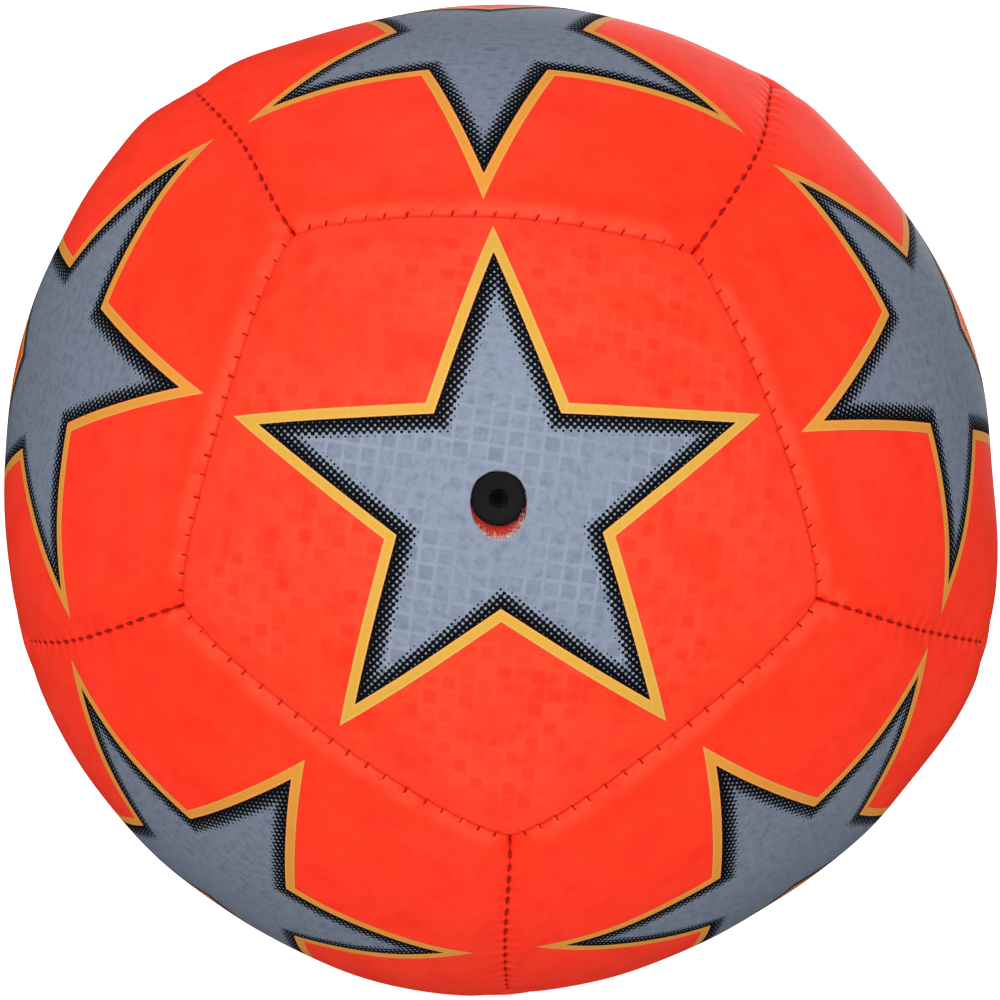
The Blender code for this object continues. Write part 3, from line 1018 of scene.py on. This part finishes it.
def embossed_cells(nodes, x, y):
    """(height, line, square, blurred square) of the pressed squares between thin lines."""
    cosine, sine = math.cos(CELL_TURN) / CELL_PITCH, math.sin(CELL_TURN) / CELL_PITCH
    places = (y * -cosine + x * -sine, y * -sine + x * cosine)
    column, row = (nodes.math("FLOOR", place) for place in places)
    u, v = (nodes.math("FRACT", place) - 0.5 for place in places)
    border = nodes.math("MAXIMUM", abs(u), abs(v))
    line = nodes.step(border, 0.35, 0.47)
    parity = (column + row) % 2.0
    height = nodes.chosen(parity, u * u, v * v) * -2.4 + 1.0 - line * 0.25
    # Every other square is painted darker, as painted shade of its tilt in the weave, and each
    # square also has a random tone.
    tone = (nodes.cell_noise(column, row) * 0.7 + 0.3) * (parity * 0.75 + 0.25)
    square = tone * nodes.step(border, 0.46, 0.34)
    soft_square = tone * nodes.step(border, 0.54, 0.20)
    return height, line, square, soft_square


ORANGE = (0.950, 0.0290, 0.0062, 1)
ORANGE_DEEP = (0.880, 0.0185, 0.0040, 1)
# ORANGE_PALE is the colour of the orange's painted sheen and highlights, and of its paler pressed
# lines.
ORANGE_PALE = (0.960, 0.0640, 0.0270, 1)
# The colour of the painted shade in the crease of a seam.
SEAM_PAINTED_SHADE = (0.42, 0.006, 0.003, 1)
GOLD = (0.620, 0.330, 0.028, 1)
GOLD_RIM = (0.700, 0.335, 0.055, 1)
GOLD_DARK = (0.480, 0.240, 0.022, 1)
OUTLINE_RUST = (0.420, 0.050, 0.003, 1)
INK_BLACK = (0.0012, 0.0011, 0.0018, 1)
INK_SPECK = (0.050, 0.055, 0.070, 1)
GREY = (0.203, 0.238, 0.312, 1)
GREY_DARK = (0.136, 0.165, 0.222, 1)
GREY_LINE = (0.264, 0.302, 0.382, 1)
# Lit and shaded copies of one print. Each holds the tint of the grey and of the gold, how deep the
# squares are pressed, and how pale the orange is all over and along the ring seam. The tints paint
# the valve panel's grey and gold brighter and the other panels' darker, as painted light and shade;
# the paleness all over is a painted sheen, and the paleness along the ring seam a painted
# highlight.
VALVE_PANEL_LIT_PRINT = ((1.0, 1.0, 1.0), (1.0, 1.04, 1.5), 1.0, 0.27, 0.0)
OTHER_PANEL_SHADED_PRINT = ((0.79, 0.79, 0.79), (1.08, 0.82, 1.1), 0.40, 0.0, 0.9)


def tinted(tint, *colours):
    return [tuple(tone * share for tone, share in zip(colour, (*tint, 1))) for colour in colours]


def cover_material(name, look):
    """Printed PVC: a star with a gold outline and a halftone edge, on fluorescent orange."""
    grey_painted_shade, gold_painted_light, pressing, painted_sheen, edge_painted_highlight = look
    grey_light, grey_dark, grey_line = tinted(grey_painted_shade, GREY, GREY_DARK, GREY_LINE)
    gold_face, gold_dark, gold_rim = tinted(gold_painted_light, GOLD, GOLD_DARK, GOLD_RIM)
    nodes = Nodes(name)
    vector, x, y, seam = nodes.flat_place()
    height, line, square, soft_square = embossed_cells(nodes, x, y)
    pressed = nodes.step(nodes.noise(vector, 0.05, 1.0), 0.38, 0.60, 0.15 * pressing, pressing)
    pressed *= nodes.step(seam, 3.0, 9.0, 0.15, 1.0)
    lines = line * pressed
    grain = nodes.noise(vector, 3.2, 3.0, 0.6)
    cloud = nodes.noise(vector, 0.5, 3.0, 0.6)

    # The petals' edge along the ring seam stands up and catches the light; that highlight is
    # painted paler into the orange, in cloudy patches.
    edge = nodes.step(x * math.tan(TURN / 2) - abs(y), -1.0, 3.0) * nodes.step(seam, 0.2, 1.1)
    edge *= nodes.step(seam, 4.6, 1.9) * (cloud * 1.2 + 0.1)
    orange = nodes.layered(
        ORANGE,
        # Painted sheen: paler orange all over the valve panel and where the squares are pressed,
        # and a painted highlight along the ring seam.
        (edge * edge_painted_highlight + painted_sheen + pressed * 0.30, ORANGE_PALE),
        (nodes.step(nodes.noise(vector, 0.12, 4.0, 0.65), 0.42, 0.72, 0.0, 0.75), ORANGE_DEEP),
        # The pressed squares darken the orange: painted shade on every other square, with a random
        # tone.
        (soft_square * pressed * 0.75, ORANGE_DEEP),
        (lines * 0.15, ORANGE_PALE),
    )

    # The ink's screen sits a little off the gold outline.
    depth = star_distance(nodes, x + 0.12, y + 0.30) * -1.0 - GOLD_BAND
    (first, dots), (grown, grown_dots), (last, last_dots) = FIRST_DOTS, GROWN_DOTS, LAST_DOTS
    share = nodes.step(depth, first, grown, dots, grown_dots, "LINEAR")
    share += nodes.step(depth, grown, last, 0.0, last_dots - grown_dots, "LINEAR")
    pale = nodes.step(halftone(nodes, x, y) + share - 1.0, -0.06, 0.06)
    speck = nodes.step(nodes.noise(vector, 2.2, 3.0, 0.7), 0.62, 0.70)
    grey = nodes.layered(
        grey_light,
        (nodes.step(cloud, 0.40, 0.80), grey_dark),
        # The pressed squares darken the grey: painted shade on every other square, with a random
        # tone.
        (square * pressed * 0.60, grey_dark),
        (speck * 0.35, INK_SPECK),
        (lines * 0.50, grey_line),
    )

    outline = star_distance(nodes, x, y)
    off_middle = abs(outline + GOLD_BAND / 2)
    gold = nodes.layered(
        gold_face,
        (grain * 0.40, gold_dark),
        (nodes.step(off_middle, GOLD_BAND * 0.22, GOLD_BAND * 0.5), gold_rim),
        (lines * 0.35, gold_rim),
        (nodes.step(outline, -0.08, 0.02), OUTLINE_RUST),
    )
    inside = nodes.step(outline + GOLD_BAND, 0.05, -0.05)
    colour = nodes.layered(
        orange,
        (nodes.step(outline, 0.16, 0.06), gold),
        (inside, nodes.layered(INK_BLACK, (pale, grey))),
        # Painted shade: the colour darkens to deep red within a fraction of a millimetre of the
        # seam, where the crease falls into shadow.
        (nodes.step(seam, 0.65, 0.08, 0.0, 0.80), SEAM_PAINTED_SHADE),
    )
    rough = grain * 0.14 + 0.44 + lines * 0.06 + inside * (pale * -1.0 + 1.0) * 0.34
    normal = nodes.bump(height * pressed, 0.00009)
    normal = nodes.bump(nodes.noise(vector, 9.0) * 0.4 + grain, 0.000020, Normal=normal)
    return nodes.finished(
        Base_Color=colour, Roughness=rough, Normal=normal, Specular_IOR_Level=0.14
    )


def weave(nodes, x, y):
    """The height of a plain weave: threads that pass over and under."""
    first, second = (abs(nodes.math("SINE", place * (math.pi / WEAVE_PITCH))) for place in (x, y))
    column, row = (nodes.math("FLOOR", place * (1 / WEAVE_PITCH)) for place in (x, y))
    return nodes.chosen((column + row) % 2.0, first, second)


def cloth_material(name, light, dark):
    nodes = Nodes(name)
    vector, x, y, _ = nodes.flat_place()
    height = weave(nodes, x, y)
    fuzz = nodes.noise(vector, 4.0, 3.0, 0.7)
    return nodes.finished(
        Base_Color=nodes.layered(dark, (nodes.step(height, 0.1, 0.9), light), (fuzz * 0.4, dark)),
        Roughness=fuzz * 0.15 + 0.80,
        Normal=nodes.bump(fuzz * 0.5 + height, 0.00008),
        Sheen_Weight=0.25,
    )


def foam_material():
    nodes = Nodes("foam_cells")
    place = nodes.object_place()
    depth = nodes.add("TexVoronoi", {"Vector": place, "Scale": 2200.0}, "Distance")
    cloud = nodes.noise(place, 120.0)
    colour = nodes.layered(
        (0.60, 0.53, 0.42, 1),
        (nodes.step(depth, 0.1, 0.7), (0.78, 0.74, 0.64, 1)),
        (cloud * 0.4, (0.62, 0.56, 0.45, 1)),
    )
    normal = nodes.bump(depth, 0.00015)
    return nodes.finished(Base_Color=colour, Roughness=cloud * 0.1 + 0.85, Normal=normal)


def thread_material():
    nodes = Nodes("waxed_thread")
    place = nodes.object_place()
    fibres = nodes.noise(place, 5200.0, 2.0, 0.7)
    colour = nodes.layered(
        (0.30, 0.0060, 0.0045, 1),
        (fibres, (0.48, 0.0105, 0.0075, 1)),
        (nodes.noise(place, 260.0) * 0.5, (0.17, 0.0040, 0.0035, 1)),
    )
    return nodes.finished(
        Base_Color=colour,
        Roughness=fibres * 0.25 + 0.55,
        Normal=nodes.bump(fibres, 0.00005),
        Specular_IOR_Level=0.15,
    )


def fibre_material():
    nodes = Nodes("cut_fibres")
    cloud = nodes.noise(nodes.object_place(), 900.0)
    reddish = (nodes.step(cloud, 0.40, 0.52), (0.52, 0.10, 0.11, 1))
    colour = nodes.layered((0.60, 0.53, 0.44, 1), reddish)
    return nodes.finished(Base_Color=colour, Roughness=cloud * 0.1 + 0.7)


def rubber_material(name, colour, dusty, dust_share, roughness):
    """Rubber with a fine moulded grain and a little release powder on it."""
    nodes = Nodes(name)
    place = nodes.object_place()
    grain = nodes.noise(place, 1800.0, 3.0, 0.6)
    cloud = nodes.noise(place, 70.0, 3.0, 0.6)
    powder = nodes.step(cloud, 0.42, 0.72) * dust_share * (grain * 0.8 + 0.4)
    return nodes.finished(
        Base_Color=nodes.layered((*colour, 1), (powder, (*dusty, 1))),
        Roughness=grain * 0.16 + roughness + powder * 0.3,
        Normal=nodes.bump(grain, 0.00003),
        Specular_IOR_Level=0.15,
    )


# ---- pieces


def add_piece(name, mesh, materials, node):
    piece = bpy.data.objects.new(name, mesh)
    bpy.context.scene.collection.objects.link(piece)
    for material in materials:
        mesh.materials.append(material)
    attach(piece, BODY)
    if node is not None:
        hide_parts(node)
    return piece


# The print doesn't sit quite in the middle of its panel: (up, side) in millimetres and a turn
PRINT_SHIFTS = {
    "valve_panel": ((1.0, -0.1), 0.000),
    "front_petal_1": ((0.5, -0.4), 0.024),
    "front_petal_2": ((-1.0, 0.4), -0.056),
    "front_petal_3": ((-3.2, 1.6), -0.010),
    "front_petal_4": ((-2.0, -1.9), 0.029),
    "front_petal_5": ((-0.2, -0.2), -0.104),
    "back_petal_2": ((0.6, -1.0), 0.030),
    "back_petal_4": ((-0.8, 0.9), -0.022),
    "back_panel": ((0.5, -0.8), 0.015),
}
CENTRED = ((0.0, 0.0), 0.0)


def build_panels():
    # The valve panel gets the lit copy of the print, and the other panels the copy with painted
    # shade.
    valve_cover = cover_material("cover_print_valve_panel_lit", VALVE_PANEL_LIT_PRINT)
    other_cover = cover_material("cover_print", OTHER_PANEL_SHADED_PRINT)
    backing = cloth_material("cover_backing", (0.62, 0.50, 0.46, 1), (0.30, 0.040, 0.040, 1))
    foam = foam_material()
    lining = cloth_material("lining_cloth", (0.86, 0.036, 0.014, 1), (0.50, 0.014, 0.008, 1))
    for name, rotation, kinds, lean in panels():
        hole = name == "valve_panel"
        paint = valve_cover if hole else other_cover
        foam_hole, lining_hole = (foam_outline, lining_outline) if hole else (None, None)
        shift, turn = PRINT_SHIFTS.get(name, CENTRED)
        mesh = cover_mesh(f"skin_{name}", rotation, kinds, lean, hole, shift, turn)
        skin = add_piece(f"skin_{name}", mesh, (paint, backing), f"cover_{name}")
        mesh = sheet_mesh(f"padding_{name}", rotation, FOAM_DEPTH, FOAM_THICKNESS, foam_hole)
        pad = add_piece(f"padding_{name}", mesh, (foam,), f"foam_{name}")
        mesh = sheet_mesh(f"cloth_{name}", rotation, LINING_DEPTH, LINING_THICKNESS, lining_hole)
        cloth = add_piece(f"cloth_{name}", mesh, (lining,), f"lining_{name}")


def build_threads():
    material = thread_material()
    for node, seams in thread_seams().items():
        name = node.replace("thread_", "stitches_")
        add_piece(name, thread_mesh(name, seams), (material,), node)


def build_valve():
    rubber = rubber_material(
        "valve_rubber", (0.0036, 0.0034, 0.0046), (0.03, 0.028, 0.027), 0.06, 0.60
    )
    stem = turned_mesh("valve_stem", valve_profile(), 96)
    add_piece("valve_stem", stem, (rubber,), "valve_body")
    fibres = fibre_mesh("slot_fibres")
    add_piece("slot_fibres", fibres, (fibre_material(),), None)


def finish_cad_nodes():
    """Materials for the rubber parts that keep their CAD shape."""
    looks = {
        "bladder": ("bladder_rubber", (0.016, 0.016, 0.018), (0.30, 0.28, 0.26), 0.5, 0.55),
        "valve_patch": ("patch_rubber", (0.040, 0.036, 0.036), (0.25, 0.23, 0.21), 0.4, 0.6),
        "valve_plug": ("plug_rubber", (0.0016, 0.0016, 0.0018), (0.006, 0.006, 0.006), 0.1, 0.7),
    }
    for node, look in looks.items():
        material = rubber_material(*look)
        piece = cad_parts[node]
        if not piece.material_slots:
            piece.data.materials.append(material)
        for slot in piece.material_slots:
            slot.link = "OBJECT"
            slot.material = material


# ---- the studio

WORLD_LIGHT = 0.60
WORLD_SHOWN = 1.05
CAMERA_DISTANCE = 0.717
CAMERA_LENS = 115.1
SENSOR = 36.0
CAMERA_ABOVE = math.radians(1.08)
CAMERA_BESIDE = math.radians(0.24)
CAMERA_ROLL = math.radians(0.80)
SHIFT_X, SHIFT_Y = 0.0037, -0.0050
FLOOR_GAP = 0.0003
# Each lamp's place, target, size and power
LAMPS = {
    "front": ((-0.05, -1.05, 0.14), (0, -0.1, 0), 0.42, 7.2),
    "top": ((-0.2, -0.25, 1.30), (0, 0, 0), 0.9, 3.0),
    "left": ((-1.30, -0.45, 0.10), (0, 0, 0), 0.9, 2.5),
    "right": ((1.30, -0.45, 0.0), (0, 0, 0), 0.9, 2.5),
    "low": ((0.0, -0.55, -1.20), (0, 0, 0), 0.9, 2.5),
    "back": ((0.4, 1.50, 0.50), (0, 0, 0), 1.0, 8.0),
}


def build_floor(lowest):
    """A pale floor that curves up behind the ball into a backdrop."""
    width, front, back, rise, sweep, steps = 8.0, -4.0, 3.0, 5.0, 1.2, 16
    profile = [(front, lowest)]
    for index in range(steps + 1):
        angle = index / steps * math.pi / 2
        profile.append((back + sweep * math.sin(angle), lowest + sweep * (1 - math.cos(angle))))
    profile.append((back + sweep, lowest + rise))
    points = [(side * width, y, z) for y, z in profile for side in (-1, 1)]
    faces = [(2 * i, 2 * i + 1, 2 * i + 3, 2 * i + 2) for i in range(len(profile) - 1)]
    mesh = bpy.data.meshes.new("studio_floor")
    mesh.from_pydata(points, [], faces)
    mesh.shade_smooth()
    white = Nodes("studio_white").finished(
        Base_Color=(0.90, 0.90, 0.90, 1),
        Roughness=0.9,
        Specular_IOR_Level=0.0,
        Emission_Color=(1, 1, 1, 1),
        Emission_Strength=0.95,
    )
    mesh.materials.append(white)
    floor = bpy.data.objects.new("studio_floor", mesh)
    bpy.context.scene.collection.objects.link(floor)
    floor.visible_diffuse = False
    floor.visible_glossy = False
    floor.visible_shadow = False
    floor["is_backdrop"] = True


def add_light(name, place, target, size, power):
    data = bpy.data.lights.new(name, "AREA")
    data.shape = "SQUARE"
    data.size = size
    data.energy = power
    light = bpy.data.objects.new(name, data)
    light.location = place
    light.rotation_euler = (Vector(target) - Vector(place)).to_track_quat("-Z", "Y").to_euler()
    bpy.context.scene.collection.objects.link(light)


def build_world():
    """Even white surroundings, brighter to the camera than to the ball, and not mirrored in it."""
    world = bpy.data.worlds.new("studio")
    bpy.context.scene.world = world
    world.use_nodes = True
    world.cycles_visibility.glossy = False
    tree = world.node_tree
    rays = tree.nodes.new("ShaderNodeLightPath")
    strength = tree.nodes.new("ShaderNodeMapRange")
    tree.links.new(rays.outputs["Is Camera Ray"], strength.inputs["Value"])
    strength.inputs["To Min"].default_value = WORLD_LIGHT
    strength.inputs["To Max"].default_value = WORLD_SHOWN
    tree.links.new(strength.outputs[0], tree.nodes["Background"].inputs["Strength"])
    tree.nodes["Background"].inputs["Color"].default_value = (1, 1, 1, 1)


def build_camera():
    data = bpy.data.cameras.new("camera")
    data.lens = CAMERA_LENS
    data.sensor_width = SENSOR
    data.shift_x = SHIFT_X
    data.shift_y = SHIFT_Y
    data.clip_start = 0.01
    data.clip_end = 50
    camera = bpy.data.objects.new("camera", data)
    # The camera looks along +Y, then is turned about the ball as a whole.
    upright = Matrix.Rotation(math.pi / 2, 4, "X")
    turned = (
        Matrix.Rotation(CAMERA_ABOVE, 4, "X")
        @ Matrix.Rotation(CAMERA_BESIDE, 4, "Y")
        @ Matrix.Rotation(CAMERA_ROLL, 4, "Z")
    ).inverted()
    camera.matrix_world = upright @ turned @ Matrix.Translation((0, 0, CAMERA_DISTANCE))
    bpy.context.scene.collection.objects.link(camera)
    bpy.context.scene.camera = camera


build_camera()
build_panels()
build_threads()
build_valve()
finish_cad_nodes()
build_world()
for lamp, (place, target, size, power) in LAMPS.items():
    add_light(lamp, place, target, size, power)
build_floor(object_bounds()[0].z - FLOOR_GAP)
bpy.context.scene.view_settings.view_transform = "Standard"
